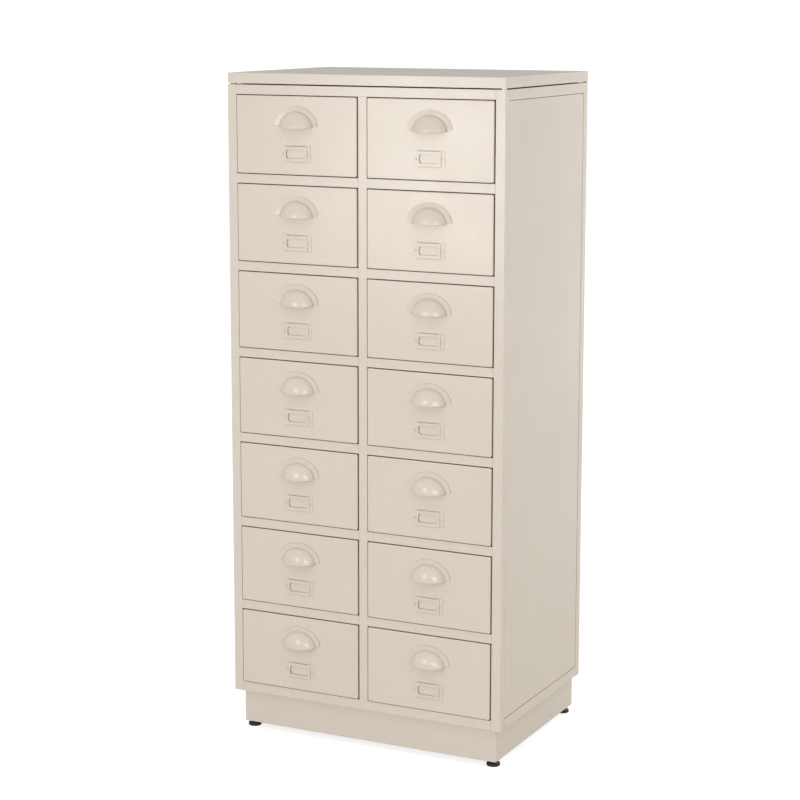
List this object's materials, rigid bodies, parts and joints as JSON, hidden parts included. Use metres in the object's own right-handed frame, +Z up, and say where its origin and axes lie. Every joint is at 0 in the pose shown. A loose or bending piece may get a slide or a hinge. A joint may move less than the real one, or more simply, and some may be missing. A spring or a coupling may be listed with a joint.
{
  "type": "drawer cabinet",
  "caption": "Tall floor-standing steel drawer cabinet, two columns of sliding drawers with cup pulls and label holders, on a recessed plinth with levelling feet.",
  "frame": {"origin": "centre of the bounding box in X and Y, on the floor under the four levelling feet", "axes": "+Z up, +X to the right as seen from the front, the drawer faces look along -Y"},
  "size_m": [0.6, 0.4391, 1.35],
  "materials": {
    "cream_paint": "satin",
    "bare_steel": "zinc plated",
    "zinc_steel": "zinc plated",
    "black_plastic": "matte"
  },
  "bodies": {
    "cabinet": {"welded_frame": "cream_paint", "top_panel": "cream_paint", "side_panel_left": "cream_paint", "side_panel_right": "cream_paint", "back_panel": "cream_paint", "bottom_panel": "cream_paint", "centre_divider": "bare_steel", "drawer_runners": "bare_steel", "plinth": "cream_paint", "back_panel_screws": "bare_steel"},
    "drawer_r1_left": {"drawer_r1_left_tray": "cream_paint", "drawer_r1_left_pull": "cream_paint", "drawer_r1_left_label_holder": "cream_paint"},
    "drawer_r1_right": {"drawer_r1_right_tray": "cream_paint", "drawer_r1_right_pull": "cream_paint", "drawer_r1_right_label_holder": "cream_paint"},
    "drawer_r2_left": {"drawer_r2_left_tray": "cream_paint", "drawer_r2_left_pull": "cream_paint", "drawer_r2_left_label_holder": "cream_paint"},
    "drawer_r2_right": {"drawer_r2_right_tray": "cream_paint", "drawer_r2_right_pull": "cream_paint", "drawer_r2_right_label_holder": "cream_paint"},
    "drawer_r3_left": {"drawer_r3_left_tray": "cream_paint", "drawer_r3_left_pull": "cream_paint", "drawer_r3_left_label_holder": "cream_paint"},
    "drawer_r3_right": {"drawer_r3_right_tray": "cream_paint", "drawer_r3_right_pull": "cream_paint", "drawer_r3_right_label_holder": "cream_paint"},
    "drawer_r4_left": {"drawer_r4_left_tray": "cream_paint", "drawer_r4_left_pull": "cream_paint", "drawer_r4_left_label_holder": "cream_paint"},
    "drawer_r4_right": {"drawer_r4_right_tray": "cream_paint", "drawer_r4_right_pull": "cream_paint", "drawer_r4_right_label_holder": "cream_paint"},
    "drawer_r5_left": {"drawer_r5_left_tray": "cream_paint", "drawer_r5_left_pull": "cream_paint", "drawer_r5_left_label_holder": "cream_paint"},
    "drawer_r5_right": {"drawer_r5_right_tray": "cream_paint", "drawer_r5_right_pull": "cream_paint", "drawer_r5_right_label_holder": "cream_paint"},
    "drawer_r6_left": {"drawer_r6_left_tray": "cream_paint", "drawer_r6_left_pull": "cream_paint", "drawer_r6_left_label_holder": "cream_paint"},
    "drawer_r6_right": {"drawer_r6_right_tray": "cream_paint", "drawer_r6_right_pull": "cream_paint", "drawer_r6_right_label_holder": "cream_paint"},
    "drawer_r7_left": {"drawer_r7_left_tray": "cream_paint", "drawer_r7_left_pull": "cream_paint", "drawer_r7_left_label_holder": "cream_paint"},
    "drawer_r7_right": {"drawer_r7_right_tray": "cream_paint", "drawer_r7_right_pull": "cream_paint", "drawer_r7_right_label_holder": "cream_paint"},
    "foot_front_left_pad": {"foot_front_left_pad": "black_plastic"},
    "foot_front_left_stud": {"foot_front_left_stud": "zinc_steel"},
    "foot_front_right_pad": {"foot_front_right_pad": "black_plastic"},
    "foot_front_right_stud": {"foot_front_right_stud": "zinc_steel"},
    "foot_back_left_pad": {"foot_back_left_pad": "black_plastic"},
    "foot_back_left_stud": {"foot_back_left_stud": "zinc_steel"},
    "foot_back_right_pad": {"foot_back_right_pad": "black_plastic"},
    "foot_back_right_stud": {"foot_back_right_stud": "zinc_steel"}
  },
  "joints": [
    {"name": "drawer_r1_left_slide", "type": "slide", "parent": "cabinet", "child": "drawer_r1_left", "axis": [0, -1, 0], "range_m": [0, 0.319]},
    {"name": "drawer_r1_right_slide", "type": "slide", "parent": "cabinet", "child": "drawer_r1_right", "axis": [0, -1, 0], "range_m": [0, 0.319]},
    {"name": "drawer_r2_left_slide", "type": "slide", "parent": "cabinet", "child": "drawer_r2_left", "axis": [0, -1, 0], "range_m": [0, 0.319]},
    {"name": "drawer_r2_right_slide", "type": "slide", "parent": "cabinet", "child": "drawer_r2_right", "axis": [0, -1, 0], "range_m": [0, 0.319]},
    {"name": "drawer_r3_left_slide", "type": "slide", "parent": "cabinet", "child": "drawer_r3_left", "axis": [0, -1, 0], "range_m": [0, 0.319]},
    {"name": "drawer_r3_right_slide", "type": "slide", "parent": "cabinet", "child": "drawer_r3_right", "axis": [0, -1, 0], "range_m": [0, 0.319]},
    {"name": "drawer_r4_left_slide", "type": "slide", "parent": "cabinet", "child": "drawer_r4_left", "axis": [0, -1, 0], "range_m": [0, 0.319]},
    {"name": "drawer_r4_right_slide", "type": "slide", "parent": "cabinet", "child": "drawer_r4_right", "axis": [0, -1, 0], "range_m": [0, 0.319]},
    {"name": "drawer_r5_left_slide", "type": "slide", "parent": "cabinet", "child": "drawer_r5_left", "axis": [0, -1, 0], "range_m": [0, 0.319]},
    {"name": "drawer_r5_right_slide", "type": "slide", "parent": "cabinet", "child": "drawer_r5_right", "axis": [0, -1, 0], "range_m": [0, 0.319]},
    {"name": "drawer_r6_left_slide", "type": "slide", "parent": "cabinet", "child": "drawer_r6_left", "axis": [0, -1, 0], "range_m": [0, 0.319]},
    {"name": "drawer_r6_right_slide", "type": "slide", "parent": "cabinet", "child": "drawer_r6_right", "axis": [0, -1, 0], "range_m": [0, 0.319]},
    {"name": "drawer_r7_left_slide", "type": "slide", "parent": "cabinet", "child": "drawer_r7_left", "axis": [0, -1, 0], "range_m": [0, 0.319]},
    {"name": "drawer_r7_right_slide", "type": "slide", "parent": "cabinet", "child": "drawer_r7_right", "axis": [0, -1, 0], "range_m": [0, 0.319]},
    {"name": "foot_front_left_height", "type": "slide", "parent": "cabinet", "child": "foot_front_left_stud", "axis": [0, 0, -1], "range_m": [0, 0.01]},
    {"name": "foot_front_left_turn", "type": "hinge", "parent": "foot_front_left_stud", "child": "foot_front_left_pad", "pos_m": [-0.272, -0.16456, 0.004], "axis": [0, 0, -1], "range_deg": [0, 2880]},
    {"name": "foot_front_right_height", "type": "slide", "parent": "cabinet", "child": "foot_front_right_stud", "axis": [0, 0, -1], "range_m": [0, 0.01]},
    {"name": "foot_front_right_turn", "type": "hinge", "parent": "foot_front_right_stud", "child": "foot_front_right_pad", "pos_m": [0.272, -0.16456, 0.004], "axis": [0, 0, -1], "range_deg": [0, 2880]},
    {"name": "foot_back_left_height", "type": "slide", "parent": "cabinet", "child": "foot_back_left_stud", "axis": [0, 0, -1], "range_m": [0, 0.01]},
    {"name": "foot_back_left_turn", "type": "hinge", "parent": "foot_back_left_stud", "child": "foot_back_left_pad", "pos_m": [-0.272, 0.19695, 0.004], "axis": [0, 0, -1], "range_deg": [0, 2880]},
    {"name": "foot_back_right_height", "type": "slide", "parent": "cabinet", "child": "foot_back_right_stud", "axis": [0, 0, -1], "range_m": [0, 0.01]},
    {"name": "foot_back_right_turn", "type": "hinge", "parent": "foot_back_right_stud", "child": "foot_back_right_pad", "pos_m": [0.272, 0.19695, 0.004], "axis": [0, 0, -1], "range_deg": [0, 2880]}
  ],
  "couplings": [
    {"joint": "foot_front_left_turn", "follows": "foot_front_left_height", "rad_per_m": 5026.5},
    {"joint": "foot_front_right_turn", "follows": "foot_front_right_height", "rad_per_m": 5026.5},
    {"joint": "foot_back_left_turn", "follows": "foot_back_left_height", "rad_per_m": 5026.5},
    {"joint": "foot_back_right_turn", "follows": "foot_back_right_height", "rad_per_m": 5026.5}
  ]
}
